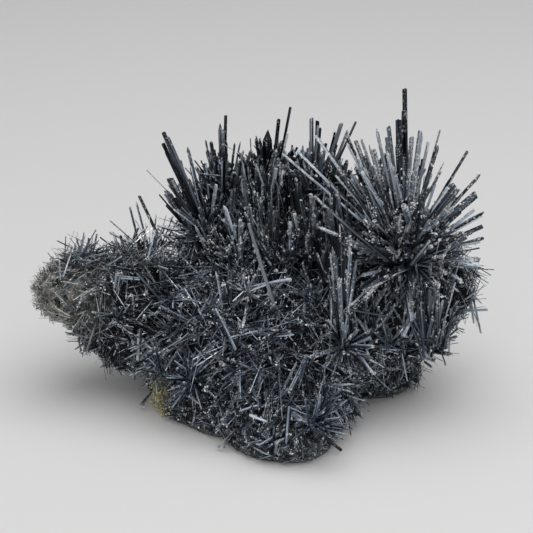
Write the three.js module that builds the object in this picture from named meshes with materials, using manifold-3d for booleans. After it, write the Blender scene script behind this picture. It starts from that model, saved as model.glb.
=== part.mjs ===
// A stibnite specimen: sprays and stands of long prisms on a felted mass of fine needles, cut flat
// underneath. Millimetres, +Z up. X runs along the specimen's length, -Y is its front, and the origin
// is on the flat cut.
import * as THREE from 'three';
import { mergeVertices } from 'three/addons/utils/BufferGeometryUtils.js';
import Module from 'manifold-3d';

const wasm = await Module();
wasm.setup();

const seatGap = 0.3; // between pieces that touch
const plainWidth = 1.3; // a prism with no width of its own
const thickWidth = 2; // prisms this thick have six sides, thinner ones four
const pointShare = 1.1; // a prism's point is this many widths long
const flatShare = 0.72; // a prism's thickness over its width
const heartShare = 1.25; // an octahedron's corners over the radius that it stands for
const matBump = 0.045; // how far the felted mass swells and sinks, as a share of its radius
const shorterLengths = [1, 0.85, 0.7, 0.55, 0.4]; // of a prism with another spray in its way

const goldenTurn = Math.PI * (3 - Math.sqrt(5));
const lengthStep = 0.754878; // even, unrepeating steps for a fan's lengths and widths
const widthStep = 0.569840;
const up = new THREE.Vector3(0, 1, 0);

// The felted mass is one growth of overlapping lumps: centre, radii, fineness.
const lumps = [
  { at: [2, 12, 18], radii: [44, 40, 34], detail: 3 }, // the middle
  { at: [41.5, 9, 36], radii: [27.5, 27, 24], detail: 3 }, // the right side, which overhangs
  { at: [40, 12, 11], radii: [18.5, 15, 15], detail: 2 }, // the right foot
  { at: [11, -22, 6], radii: [17, 28, 18], detail: 2 }, // the front tongue
  { at: [14, -12, 14], radii: [22, 26, 22], detail: 2 }, // the slope down to the tongue
  { at: [-24, 0, 14], radii: [16, 16, 22], detail: 2 }, // the left foot
  { at: [-43, 12, 32], radii: [22, 22, 21], detail: 2 }, // the left arm, which overhangs
  { at: [-59, 13, 37.5], radii: [16.5, 16, 12.5], detail: 2 }, // the arm's end
  { at: [-45, 6, 21], radii: [12, 14, 11], detail: 1 }, // the bulge under the arm
  { at: [5, 31, 25], radii: [45, 17, 28], detail: 3 }, // the back
  { at: [6, 27, 46], radii: [30, 15, 24], detail: 2 }, // the ridge that the stands grow on
];

// Each spray radiates from its root, a solid heart where its prisms have grown together. Its tips are
// single prisms: x, y, z, width and, for a blade, its thickness over its width. Its fans fill it up,
// each over a cap from the lean bare, or 0, to the lean open. spread sets its prisms apart at the foot,
// so that they stand nearly upright.
const sprays = [
  {
    name: 'right_fan', root: [57, -11, 24.5], heart: [3.5, 3, 3.5],
    tips: [[56, -15, 58, 1.6], [60, -14, 59, 1.5], [63, -11, 57, 1.8], [66, -8, 55, 1.3], [53, -17, 53, 1.5]],
    fans: [{ axis: [0.2, -0.5, 0.8], open: 50, count: 5, length: [12, 20] }],
  },
  {
    name: 'middle_spray', root: [28, -22, 31], heart: [3.6, 3.4, 3.6],
    tips: [[27, -14, 68, 3.2], [30, -12, 66, 2], [24, -14, 63, 1.9], [32, -15, 58, 1.5], [23, -17, 54, 1.3]],
    fans: [{ axis: [0.1, -0.9, 0.25], bare: 30, open: 88, count: 9, length: [8, 15] }],
  },
  {
    name: 'great_spray', root: [48, -5, 55], heart: [5, 5, 5],
    tips: [
      [48, 10, 109, 1.8], [46, 5, 100, 2.1], [43, 10, 96, 1.5], [42, 4, 94, 1.4], [39, 12, 95, 1.6],
      [38, 4, 90, 1.3], [34, 8, 92, 1.3], [29, 10, 93, 2.6, 0.4], [50, -1, 96, 1.5], [53, 2, 97, 1.8],
      [54, 9, 93, 1.3], [56, 6, 92, 1.1], [60, 9, 95, 0.9], [59, 3, 92, 1.5], [69, 5, 89, 1.3],
      [65, 0, 79, 3.2, 0.6], [74, 6, 81, 1.5], [72, 0, 76, 2.3], [75, -1, 70, 1.5], [74, -4, 66, 1.4],
      [73, -8, 62, 1.3], [74, -2, 51, 1.6], [28, -24, 43, 2.2], [31, -9, 61, 1.6, 0.5], [31, -9, 56, 1.5],
      [19, 12, 92, 1.8, 0.5], [13, 11, 87, 1.5], [8, 11, 86, 1.4], [26, 1, 85, 1.8, 0.5],
    ],
    fans: [
      { axis: [0.1, -0.85, 0.5], bare: 38, open: 92, count: 15, length: [13, 27] },
      { axis: [0.3, 0.6, 0.8], open: 60, count: 7, length: [22, 34] },
    ],
  },
  {
    name: 'back_stand_middle', root: [4, 30, 68], heart: [6, 4, 4.5], spread: 0.3,
    tips: [
      [-1, 30, 87, 2.5], [3, 31, 89, 3.6, 0.5], [7, 30, 92, 1.3], [11, 31, 96, 1.4], [10, 27, 88, 1],
      [12, 28, 82, 1.2], [14, 26, 81, 1.1], [6, 26, 83, 1.6], [0, 26, 80, 1.4],
    ],
    fans: [{ axis: [0, 0.15, 1], open: 40, count: 5, length: [9, 18] }],
  },
  {
    name: 'back_stand_left', root: [-12, 30, 63], heart: [5, 4, 4.5], spread: 0.35,
    tips: [
      [-18, 31, 84, 1], [-16, 29, 84, 1.8], [-13, 30, 91, 2], [-11, 31, 93, 1.6], [-8, 29, 84, 0.9],
      [-6, 31, 84, 0.9], [-5, 27, 82, 1],
    ],
    fans: [{ axis: [-0.15, 0.15, 1], open: 40, count: 5, length: [9, 19] }],
  },
  {
    name: 'back_stand_right', root: [19, 25, 66], heart: [5, 4, 4.5], spread: 0.2,
    tips: [
      [18, 28, 93, 1.4], [20, 28, 92, 1.5], [21, 26, 90, 1.2], [28, 22, 93, 1.4], [30, 20, 91, 1.3],
      [26, 23, 90, 1.1], [33, 24, 93, 1.2], [23, 28, 84, 1.5],
    ],
    fans: [{ axis: [0.1, 0.2, 1], open: 44, count: 5, length: [9, 19] }],
  },
  {
    name: 'back_left_fan', root: [-17, 18, 54], heart: [3.5, 3.5, 3.5],
    tips: [
      [-32, 25, 89, 2], [-32, 19, 87, 1.4], [-24, 22, 85, 1.3], [-21, 16, 75, 1.2], [-27, 16, 71, 1],
      [-14, 14, 74, 1.3],
    ],
    fans: [{ axis: [-0.4, -0.3, 1], open: 55, count: 6, length: [10, 18] }],
  },
  {
    name: 'inner_bundle_left', root: [-6, 3, 51.5], heart: [3, 3, 3], spread: 0.4,
    tips: [[-8, 6, 64, 2.1], [-6, 5, 65, 1.7], [-4, 4, 62, 1.8], [-9, 3, 60, 1.2]],
    fans: [{ axis: [0, -0.4, 1], open: 60, count: 4, length: [8, 13] }],
  },
  {
    name: 'inner_bundle_right', root: [14, 3, 51.5], heart: [3, 3, 3], spread: 0.4,
    tips: [[12, 5, 68, 2.1], [14, 4, 67, 1.7], [17, 5, 65, 1.5], [10, 3, 62, 1.2]],
    fans: [{ axis: [0, -0.4, 1], open: 60, count: 4, length: [8, 13] }],
  },
  { name: 'pale_prism', root: [6, -17, 41], tips: [[-3, -9, 69, 1.5]] },
  { name: 'cross_needle', root: [45, -15, 38], tips: [[28, -24, 45, 0.9]] },
  {
    name: 'white_star', root: [-4, -13, 46], heart: [1.8, 1.8, 1.8],
    fans: [{ axis: [0, -0.7, 0.7], open: 80, count: 8, length: [6, 10], width: [0.7, 1] }],
  },
  { name: 'blue_prism', root: [-26, -9, 34], tips: [[-41, -4, 50, 1.6]] },
  {
    name: 'left_v_pair', root: [-40, -6.5, 19], heart: [1.5, 1.5, 1.5],
    tips: [[-39, -10, 32, 1.4], [-31, -12, 29, 1.4]],
  },
  {
    name: 'front_blades', root: [-22, -23, 19], heart: [2.4, 2.4, 2.4],
    fans: [{ axis: [0, -0.85, 0.5], open: 75, count: 7, length: [8, 14], width: [1.2, 1.9] }],
  },
  {
    name: 'tongue_spray', root: [18, -45, 14], heart: [2, 2, 2],
    fans: [{ axis: [0.8, -0.3, 0.5], open: 50, count: 6, length: [8, 13], width: [1, 1.6] }],
  },
  { name: 'tongue_needle', root: [10, -41, 18], tips: [[9, -51.5, 9, 1.3]] },
  {
    name: 'tongue_pair', root: [16, -30, 31], heart: [1.6, 1.6, 1.6],
    tips: [[10, -40, 22, 1.8], [13, -41, 24, 1.4]],
  },
  { name: 'left_needle_1', root: [-41, 25, 47], tips: [[-44, 25, 62, 1]] },
  { name: 'left_needle_2', root: [-38, 25, 47], tips: [[-42, 26, 64, 1]] },
  { name: 'left_needle_3', root: [-30, 25, 42], tips: [[-41, 28, 65, 1.1]] },
];

// Small sprays over the slope, the arm and the back: name, root and the way they face.
const smallSpray = { heart: 2.2, open: 48, count: 5, length: [8, 14], width: [1, 1.6] };
const smallSprays = [
  ['slope_spray_1', [-29, -4, 40], [-0.7, -0.5, 0.5]],
  ['slope_spray_2', [-14, -18, 39], [0.5, -0.6, 0.6]],
  ['slope_spray_3', [-6, -27, 26], [-0.5, -0.7, 0.4]],
  ['slope_spray_4', [4, -24, 35], [0.7, -0.6, 0.5]],
  ['slope_spray_5', [18, -12, 44], [-0.4, -0.4, 0.9]],
  ['slope_spray_6', [43, -20, 30], [-0.3, -0.6, 0.7]],
  ['arm_spray_1', [-49, 0, 50], [0.9, -0.2, 0.35]],
  ['arm_spray_2', [-60, 6, 51], [0.8, 0.1, 0.5]],
  ['arm_spray_3', [-47, -10, 35], [0.6, -0.5, 0.5]],
  ['foot_spray', [-32, -15, 18], [-0.3, -0.5, 0.8]],
  ['tongue_side_spray', [21, -35, 16], [0.4, -0.6, 0.6]],
  ['rear_spray_1', [-25, 44, 36], [-0.2, 0.9, 0.5]],
  ['rear_spray_2', [8, 50, 30], [0, 1, 0.4]],
  ['rear_spray_3', [42, 41, 35], [0.4, 0.8, 0.5]],
  ['rear_spray_4', [-46, 33, 40], [-0.3, 0.8, 0.5]],
  ['right_side_spray', [62, 31, 36], [0.6, 0.8, 0.3]],
];

for (const [name, root, axis] of smallSprays) {
  const { open, count, length, width } = smallSpray;
  const reach = name.startsWith('rear') ? 1.15 : 1;
  const fan = { axis, open, count, length: length.map((l) => l * reach), width };
  sprays.push({ name, root, heart: Array(3).fill(smallSpray.heart), fans: [fan] });
}

// A closed geometry as a solid: shared corners are merged, and a lathe's empty triangles on its axis
// are left out.
function solidFrom(geometry) {
  geometry.deleteAttribute('normal');
  geometry.deleteAttribute('uv');
  const merged = mergeVertices(geometry, 1e-4);
  const corners = merged.index.array;
  const triangles = [];
  for (let i = 0; i < corners.length; i += 3) {
    const [a, b, c] = corners.slice(i, i + 3);
    if (a !== b && b !== c && c !== a) triangles.push(a, b, c);
  }
  return new wasm.Manifold(new wasm.Mesh({
    numProp: 3,
    vertProperties: merged.attributes.position.array,
    triVerts: Uint32Array.from(triangles),
  }));
}

function geometryFrom(solid) {
  const mesh = solid.getMesh();
  const geometry = new THREE.BufferGeometry();
  geometry.setAttribute('position', new THREE.BufferAttribute(mesh.vertProperties, 3));
  geometry.setIndex(new THREE.BufferAttribute(mesh.triVerts, 1));
  geometry.computeVertexNormals();
  return geometry;
}

// An ellipsoid whose radius swells and sinks in slow waves.
function lumpSolid({ at, radii, detail }, skin = 0) {
  const geometry = new THREE.IcosahedronGeometry(1, detail);
  const corner = new THREE.Vector3();
  const positions = geometry.attributes.position;
  for (let i = 0; i < positions.count; i += 1) {
    corner.fromBufferAttribute(positions, i);
    const wave = Math.sin(5 * corner.x + at[0]) + Math.sin(4 * corner.y - at[1]) + Math.sin(6 * corner.z);
    corner.multiplyScalar(1 + (matBump * wave) / 2);
    positions.setXYZ(i, corner.x, corner.y, corner.z);
  }
  geometry.scale(radii[0] + skin, radii[1] + skin, radii[2] + skin);
  geometry.translate(...at);
  return solidFrom(geometry);
}

// The heart of a spray, a rough octahedron that holds the feet of its prisms.
function heartSolid(root, radii) {
  const geometry = new THREE.OctahedronGeometry(heartShare);
  geometry.scale(...radii);
  geometry.translate(...root);
  return solidFrom(geometry);
}

// A prism from its foot to its tip, with a low point, thinner one way than the other.
function crystalSolid({ foot, tip, width, flat }) {
  const length = foot.distanceTo(tip);
  const point = Math.min(width * pointShare, length / 4);
  const profile = [[0, 0], [width / 2, 0], [width / 2, length - point], [0, length]];
  const geometry = new THREE.LatheGeometry(
    profile.map(([x, y]) => new THREE.Vector2(x, y)),
    width >= thickWidth ? 6 : 4,
  );
  geometry.scale(1, 1, flat);
  const way = tip.clone().sub(foot).normalize();
  geometry.applyQuaternion(new THREE.Quaternion().setFromUnitVectors(up, way));
  geometry.translate(foot.x, foot.y, foot.z);
  return solidFrom(geometry);
}

// A fan's prisms turn round its axis by the golden angle and lean out from bare to open, evenly over the cap.
function fanCrystals(root, { axis, bare = 0, open, count, length, width = [0.8, 1.5] }) {
  const toAxis = new THREE.Quaternion().setFromUnitVectors(up, new THREE.Vector3(...axis).normalize());
  const [high, low] = [bare, open].map((lean) => Math.cos(THREE.MathUtils.degToRad(lean)));
  return Array.from({ length: count }, (_, i) => {
    const lean = Math.acos(THREE.MathUtils.lerp(high, low, (i + 0.5) / count));
    const way = new THREE.Vector3().setFromSphericalCoords(1, lean, i * goldenTurn).applyQuaternion(toAxis);
    const reach = THREE.MathUtils.lerp(...length, (i * lengthStep) % 1);
    return {
      foot: root.clone(),
      tip: root.clone().addScaledVector(way, reach),
      width: THREE.MathUtils.lerp(...width, (i * widthStep) % 1),
      flat: flatShare,
    };
  });
}

function tipCrystals(root, tips, spread) {
  return tips.map(([x, y, z, width = plainWidth, flat = flatShare]) => {
    const tip = new THREE.Vector3(x, y, z);
    const foot = root.clone();
    foot.x += (x - root.x) * spread;
    foot.y += (y - root.y) * spread;
    return { foot, tip, width, flat };
  });
}

// Whether a prism keeps the seat gap to every prism and heart of the sprays before it.
function isClear(crystal, grown) {
  const line = new THREE.Line3(crystal.foot, crystal.tip);
  return grown.every((other) => {
    const near = crystal.width / 2 + other.width / 2 + seatGap;
    return line.distanceSqToLine3(new THREE.Line3(other.foot, other.tip)) > near * near;
  });
}

function grownCrystal(crystal, grown) {
  const whole = crystal.tip.clone();
  for (const share of shorterLengths) {
    crystal.tip.lerpVectors(crystal.foot, whole, share);
    if (isClear(crystal, grown)) return crystal;
  }
  return null;
}

// The largest body of a solid, without the chips that a cut leaves.
function largestBody(solid) {
  return solid.decompose().reduce((a, b) => (b.volume() > a.volume() ? b : a));
}

const belowFloor = solidFrom(new THREE.BoxGeometry(400, 400, 100).translate(0, 0, -50));
const nearFloor = solidFrom(new THREE.BoxGeometry(400, 400, 100).translate(0, 0, seatGap - 50));
const mat = wasm.Manifold.union(lumps.map((lump) => lumpSolid(lump))).subtract(belowFloor);
const matSkin = wasm.Manifold.union(lumps.map((lump) => lumpSolid(lump, seatGap)));
const kept = matSkin.add(nearFloor);

const finish = {
  mat: { color: 0x3a3d40, roughness: 0.75, metalness: 0.3 },
  prism: { color: 0x525c66, roughness: 0.35, metalness: 0.8 },
  pale: { color: 0x9aa4ab, roughness: 0.4, metalness: 0.6 },
};

const specimen = new THREE.Group();

function addPiece(name, solid, look) {
  const piece = new THREE.Mesh(geometryFrom(solid), new THREE.MeshStandardMaterial(look));
  piece.name = name;
  specimen.add(piece);
}

addPiece('needle_mat', mat, finish.mat);

const grown = [];
for (const { name, root, heart, tips = [], fans = [], spread = 0 } of sprays) {
  const centre = new THREE.Vector3(...root);
  const crystals = [...tipCrystals(centre, tips, spread), ...fans.flatMap((fan) => fanCrystals(centre, fan))];
  const clear = crystals.map((crystal) => grownCrystal(crystal, grown)).filter(Boolean);
  const solids = clear.map(crystalSolid);
  if (heart) {
    solids.push(heartSolid(root, heart));
    clear.push({ foot: centre, tip: centre, width: 2 * Math.max(...heart) });
  }
  grown.push(...clear);
  const look = name.startsWith('pale') || name.startsWith('white') ? finish.pale : finish.prism;
  addPiece(name, largestBody(wasm.Manifold.union(solids).subtract(kept)), look);
}

export default specimen;
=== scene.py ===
import math

import bmesh
import bpy
import numpy as np
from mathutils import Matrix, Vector


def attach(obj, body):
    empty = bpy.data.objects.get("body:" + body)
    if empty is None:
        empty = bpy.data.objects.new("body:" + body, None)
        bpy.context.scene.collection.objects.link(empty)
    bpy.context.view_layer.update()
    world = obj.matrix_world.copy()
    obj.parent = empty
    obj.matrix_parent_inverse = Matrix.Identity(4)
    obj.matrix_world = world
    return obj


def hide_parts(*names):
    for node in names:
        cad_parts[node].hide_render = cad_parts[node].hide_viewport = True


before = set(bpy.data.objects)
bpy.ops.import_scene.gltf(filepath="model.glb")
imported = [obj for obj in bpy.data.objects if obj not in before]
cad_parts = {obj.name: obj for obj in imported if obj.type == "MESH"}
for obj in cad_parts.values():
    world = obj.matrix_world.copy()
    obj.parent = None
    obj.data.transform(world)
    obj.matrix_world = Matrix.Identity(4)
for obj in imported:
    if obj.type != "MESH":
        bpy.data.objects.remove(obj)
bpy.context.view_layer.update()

mm = 0.001
goldenTurn = math.pi * (3 - math.sqrt(5))
lengthStep = 0.754878  # even, unrepeating steps for a fan's lengths and widths, as the frame's own fans have
widthStep = 0.569840


def unit(vectors):
    return vectors / np.maximum(np.linalg.norm(vectors, axis=-1, keepdims=True), 1e-12)


def distances(points, place):
    return np.linalg.norm(points - place, axis=1)


def skewed(rng, span, count, power):
    # Random numbers between the span's ends: the higher the power, the commoner the low ones.
    return span[0] + (span[1] - span[0]) * rng.uniform(0, 1, count) ** power


def meshPiece(name, points, quads, tris, smooth=False):
    # Puts whole arrays into a mesh: points (n, 3), four-cornered faces (q, 4), three-cornered faces (t, 3).
    mesh = bpy.data.meshes.new(name)
    corners = np.concatenate([quads.ravel(), tris.ravel()]).astype(np.int32)
    sizes = np.concatenate([np.full(len(quads), 4), np.full(len(tris), 3)]).astype(np.int32)
    starts = np.concatenate([[0], np.cumsum(sizes)[:-1]]).astype(np.int32)
    mesh.vertices.add(len(points))
    mesh.vertices.foreach_set("co", points.astype(np.float32).ravel())
    mesh.loops.add(len(corners))
    mesh.loops.foreach_set("vertex_index", corners)
    mesh.polygons.add(len(sizes))
    mesh.polygons.foreach_set("loop_start", starts)
    mesh.update(calc_edges=True)
    mesh.polygons.foreach_set("use_smooth", np.full(len(sizes), smooth))
    piece = bpy.data.objects.new(name, mesh)
    bpy.context.collection.objects.link(piece)
    return piece


def addMap(piece, name, quadValues, triValues):
    layer = piece.data.uv_layers.new(name=name)
    values = np.concatenate([quadValues.reshape(-1, 2), triValues.reshape(-1, 2)])
    layer.data.foreach_set("uv", values.astype(np.float32).ravel())


def addNumber(piece, name, values):
    layer = piece.data.attributes.new(name, "FLOAT", "POINT")
    layer.data.foreach_set("value", values.astype(np.float32).ravel())


def cornerNoise(cells, seed):
    # A repeatable random number for each whole-number cell, from a mixed-up product of its coordinates.
    x, y, z = cells[..., 0], cells[..., 1], cells[..., 2]
    n = x * 374761393 + y * 668265263 + z * 2147483647 + seed * 1274126177
    n = (n ^ (n >> 13)) * 1274126177 & 0xFFFFFFFF
    return ((n ^ (n >> 16)) & 0xFFFFFF) / 0xFFFFFF


def noiseAt(points, size, seed):
    # Value noise: the cells' random numbers, blended smoothly between a cell's eight corners. Runs -1 to 1.
    scaled = points / size
    cell = np.floor(scaled).astype(np.int64)
    t = scaled - cell
    t = t * t * (3 - 2 * t)
    total = 0
    for corner in np.ndindex(2, 2, 2):
        share = np.prod(np.where(corner, t, 1 - t), axis=-1)
        total = total + share * cornerNoise(cell + np.array(corner), seed)
    return 2 * total - 1


def sideways(axes, rng):
    # Two unit vectors across each axis, turned round it at random.
    helper = np.where(np.abs(axes[:, 2:]) < 0.9, [[0.0, 0.0, 1.0]], [[1.0, 0.0, 0.0]])
    across = unit(np.cross(helper, axes))
    other = np.cross(axes, across)
    turn = rng.uniform(0, 2 * math.pi, len(axes))[:, None]
    return across * np.cos(turn) + other * np.sin(turn), other * np.cos(turn) - across * np.sin(turn)


def layOut(count, around, along):
    # Each prism or needle has its own cell of a square map: around runs across it and along runs up it.
    side = math.ceil(math.sqrt(count))
    cell = np.arange(count)[:, None, None]
    margin = 0.07
    u = (cell % side + margin + (1 - 2 * margin) * around) / side
    v = (cell // side + margin + (1 - 2 * margin) * along) / side
    return np.stack(np.broadcast_arrays(u, v), axis=-1)


def tubeFaces(sides, levels):
    # The faces of a closed tube whose rings are followed by a foot point and a tip point, and for each
    # face corner its place around, 0 to 1, and its level, where the foot point is level -1 and the tip
    # point is last.
    s = np.arange(sides)
    after = (s + 1) % sides
    left, right, middle = s / sides, (s + 1) / sides, (s + 0.5) / sides
    starts = np.arange(levels - 1)[:, None] * sides
    corners = [starts + s, starts + after, starts + sides + after, starts + sides + s]
    quads = np.stack(corners, axis=-1).reshape(-1, 4)
    quadAround = np.tile(np.stack([left, right, right, left], 1), (levels - 1, 1))
    level = np.repeat(np.arange(levels - 1), sides)
    quadLevel = np.stack([level, level, level + 1, level + 1], 1)
    top = (levels - 1) * sides
    foot = np.stack([after, s, np.full(sides, levels * sides)], 1)
    tip = np.stack([top + s, top + after, np.full(sides, levels * sides + 1)], 1)
    triAround = np.concatenate([np.stack([right, left, middle], 1), np.stack([left, right, middle], 1)])
    footLevel = np.tile([0, 0, -1], (sides, 1))
    tipLevel = np.tile([levels - 1, levels - 1, levels], (sides, 1))
    triLevel = np.concatenate([footLevel, tipLevel])
    return (quads, quadAround, quadLevel), (np.concatenate([foot, tip]), triAround, triLevel)


def tubePiece(name, rings, ends, heights, tones, lengths=None):
    # Many tubes in one mesh: rings (tubes, levels, sides, 3), foot and tip points (tubes, 2, 3), and the
    # height of each ring, 0 to 1. lengths, around and along in millimetres with a shift, add the map that
    # long streaks follow.
    count, levels, sides = rings.shape[:3]
    size = levels * sides + 2
    points = np.concatenate([rings.reshape(count, -1, 3), ends], axis=1).reshape(-1, 3)
    (quads, quadAround, quadLevel), (tris, triAround, triLevel) = tubeFaces(sides, levels)
    offset = (np.arange(count) * size)[:, None, None]
    piece = meshPiece(name, points, (quads + offset).reshape(-1, 4), (tris + offset).reshape(-1, 3))
    steps = np.concatenate([heights, [1.0, 0.0]])
    quadAlong, triAlong = steps[quadLevel], steps[triLevel]
    if lengths is not None:
        girth, reach, shift = (side[:, None, None] for side in lengths)
        quadGrain = np.stack(np.broadcast_arrays(quadAround * girth + shift, quadAlong * reach), axis=-1)
        triGrain = np.stack(np.broadcast_arrays(triAround * girth + shift, triAlong * reach), axis=-1)
        addMap(piece, "grain", quadGrain, triGrain)
    addMap(piece, "OFBake", layOut(count, quadAround, quadAlong), layOut(count, triAround, triAlong))
    addNumber(piece, "tone", np.repeat(tones, size))
    addNumber(piece, "along", np.tile(np.concatenate([np.repeat(heights, sides), [0, 1]]), count))
    return piece


prismForm = {
    "rings": (0.0, 0.5, 1.0),  # up to the shoulder
    "section": (0.45, 0.65),  # radius: the circle's share, and the share that follows the rhombus
    "ridge": 0.12,  # how deep the lengthwise ridges are, as a share of the radius
    "bend": 0.012,  # sideways bow, as a share of the length
    "taper": 0.12,  # loss of width up to the shoulder, times a random share
    "taperShare": (-0.2, 1),
    "bluntShare": 0.68,  # of the prisms, those with a nearly flat end
    "bluntPoint": (0.1, 0.5),  # the end's length over the width
    "sharpPoint": (1, 2.4),
    "longestPoint": 0.25,  # over the prism's length
    "bluntEnd": (0.6, 0.85),  # the end's width over the shoulder's
    "sharpEnd": (0.1, 0.35),
    "endDrop": 0.3,  # from the tip down to the end's ring, over the end's length
    "slant": 0.35,
    "footDepth": 0.2,  # below the first ring, over the width
    "onMap": (0.04, 0.88, 0.97),  # the foot's height, the rings' span and the end's height
    "girth": 3,  # over the width
    "thickTone": (1.7, 0.45, 0.45),  # tone's share: at no width, its fall with each millimetre, the least
    "pointedTone": 0.1,
}


def growPrisms(name, feet, tips, widths, flats, points, seed, sides=8):
    # Fluted prisms. Across: a rhombus rounded towards a circle, its radius ridged by a random number for
    # each side. Along: rings from foot to shoulder, bowed by half a sine wave, then an end cut at a
    # slant, blunt or pointed. points is how long the point is over the width, and 0 leaves it to chance.
    # Each prism's tone is random, and darker for a thick prism or one with a point of its own.
    form = prismForm
    rng = np.random.default_rng(seed)
    count = len(feet)
    reach = np.linalg.norm(tips - feet, axis=1)
    axes = unit(tips - feet)
    u, v = sideways(axes, rng)
    angle = 2 * math.pi * np.arange(sides) / sides
    rhombus = 1 / (np.abs(np.cos(angle)) + np.abs(np.sin(angle)))
    ridges = 1 + form["ridge"] * rng.uniform(-1, 1, (count, sides))
    circular, angular = form["section"]
    radius = (circular + angular * rhombus) * ridges * (widths[:, None] / 2)
    across = radius * np.cos(angle)
    thick = radius * np.sin(angle) * flats[:, None]
    blunt = (rng.uniform(0, 1, count) < form["bluntShare"]) & (points == 0)
    point = np.where(blunt, rng.uniform(*form["bluntPoint"], count), rng.uniform(*form["sharpPoint"], count))
    point = widths * np.where(points > 0, points, point)
    point = np.minimum(point, reach * form["longestPoint"])
    shoulder = 1 - point / reach
    steps = np.array(form["rings"])[None, :] * shoulder[:, None]
    swell = 1 - form["taper"] * rng.uniform(*form["taperShare"], count)[:, None] * steps
    bow = form["bend"] * reach[:, None] * rng.uniform(-1, 1, count)[:, None] * np.sin(math.pi * steps)
    spine = feet[:, None] + axes[:, None] * (steps * reach[:, None])[..., None] + u[:, None] * bow[..., None]
    rings = (
        spine[:, :, None]
        + u[:, None, None] * (across[:, None] * swell[..., None])[..., None]
        + v[:, None, None] * (thick[:, None] * swell[..., None])[..., None]
    )
    last = swell[:, -1:]
    slant = rng.uniform(-form["slant"], form["slant"], count)[:, None] * across
    height = np.minimum((reach - form["endDrop"] * point)[:, None] + slant, reach[:, None])
    bluntEnd, sharpEnd = rng.uniform(*form["bluntEnd"], count), rng.uniform(*form["sharpEnd"], count)
    narrow = np.where(blunt, bluntEnd, sharpEnd)[:, None]
    endRing = (
        feet[:, None]
        + axes[:, None] * height[..., None]
        + u[:, None] * (across * last * narrow)[..., None]
        + v[:, None] * (thick * last * narrow)[..., None]
        + (u * bow[:, -1:])[:, None]
    )
    rings = np.concatenate([rings, endRing[:, None]], axis=1)
    ends = np.stack([feet - axes * widths[:, None] * form["footDepth"], endRing.mean(axis=1)], axis=1)
    low, span, high = form["onMap"]
    heights = np.concatenate([[low], low + span * np.array(form["rings"][1:]), [high]])
    lengths = (widths * form["girth"] / mm, reach / mm, rng.uniform(0, 50, count))
    most, fall, least = form["thickTone"]
    tones = rng.uniform(0, 1, count) * np.clip(most - fall * widths / mm, least, 1)
    tones = np.where(points > 0, form["pointedTone"], tones)
    return tubePiece(name, rings, ends, heights, tones, lengths)


def growShortPrisms(name, feet, tips, widths, tones, seed):
    # Six-sided fluted prisms for the beds. The bed's tone sets how thick each is over its width.
    flats = 0.5 + 0.4 * tones
    return growPrisms(name, feet, tips, widths, flats, np.zeros(len(feet)), seed, sides=6)


def ovals(u, v, widths, flats, sides):
    # A ring for each needle: an oval with its width along u and its thickness along v.
    angle = 2 * math.pi * np.arange(sides) / sides
    return (
        u[:, None] * (np.cos(angle) * widths[:, None] / 2)[..., None]
        + v[:, None] * (np.sin(angle) * flats[:, None] * widths[:, None] / 2)[..., None]
    )


def growSpindles(name, feet, tips, widths, tones, seed, sides=3):
    # The finest needles: one round ring, two fifths of the way up, and a point at each end.
    middleAt = 0.4
    rng = np.random.default_rng(seed)
    u, v = sideways(unit(tips - feet), rng)
    ring = ovals(u, v, widths, np.ones(len(feet)), sides)
    middle = (feet + middleAt * (tips - feet))[:, None] + ring
    return tubePiece(name, middle[:, None], np.stack([feet, tips], 1), np.array([middleAt]), tones)


bladeForm = {
    "flat": (0.45, 1),  # thickness over width
    "point": (0.1, 1.6),  # over the width
    "longestPoint": 0.3,  # over the blade's length
    "foot": 0.04,  # the first ring's place along the blade
    "end": (0.6, 1),  # the end's width over the foot's
    "onMap": (0.05, 0.9),
}


def growBlades(name, feet, tips, widths, tones, seed, sides=4):
    # Plain blades of two rings, flatter one way, with an end from blunt to sharp.
    form = bladeForm
    rng = np.random.default_rng(seed)
    count = len(feet)
    reach = np.linalg.norm(tips - feet, axis=1)
    axes = unit(tips - feet)
    u, v = sideways(axes, rng)
    ring = ovals(u, v, widths, rng.uniform(*form["flat"], count), sides)
    shoulder = 1 - np.minimum(widths * rng.uniform(*form["point"], count) / reach, form["longestPoint"])
    low = feet[:, None] + axes[:, None] * (form["foot"] * reach)[:, None, None] + ring
    narrow = rng.uniform(*form["end"], count)[:, None, None]
    high = feet[:, None] + axes[:, None] * (shoulder * reach)[:, None, None] + ring * narrow
    heights = np.array(form["onMap"])
    return tubePiece(name, np.stack([low, high], 1), np.stack([feet, tips], 1), heights, tones)


class Value:
    # A shader socket with arithmetic, so that an expression on values adds its Math nodes.
    def __init__(self, finish, socket):
        self.finish = finish
        self.socket = socket

    def math(self, operation, first, second, clamp=False):
        settings = {"operation": operation, "use_clamp": clamp}
        return self.finish.node("ShaderNodeMath", settings, {0: first, 1: second})

    def __add__(self, other):
        return self.math("ADD", self, other)

    def __sub__(self, other):
        return self.math("SUBTRACT", self, other)

    def __rsub__(self, other):
        return self.math("SUBTRACT", other, self)

    def __mul__(self, other):
        return self.math("MULTIPLY", self, other)

    def clamped(self):
        return self.math("ADD", self, 0.0, clamp=True)

    __radd__ = __add__
    __rmul__ = __mul__


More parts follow.
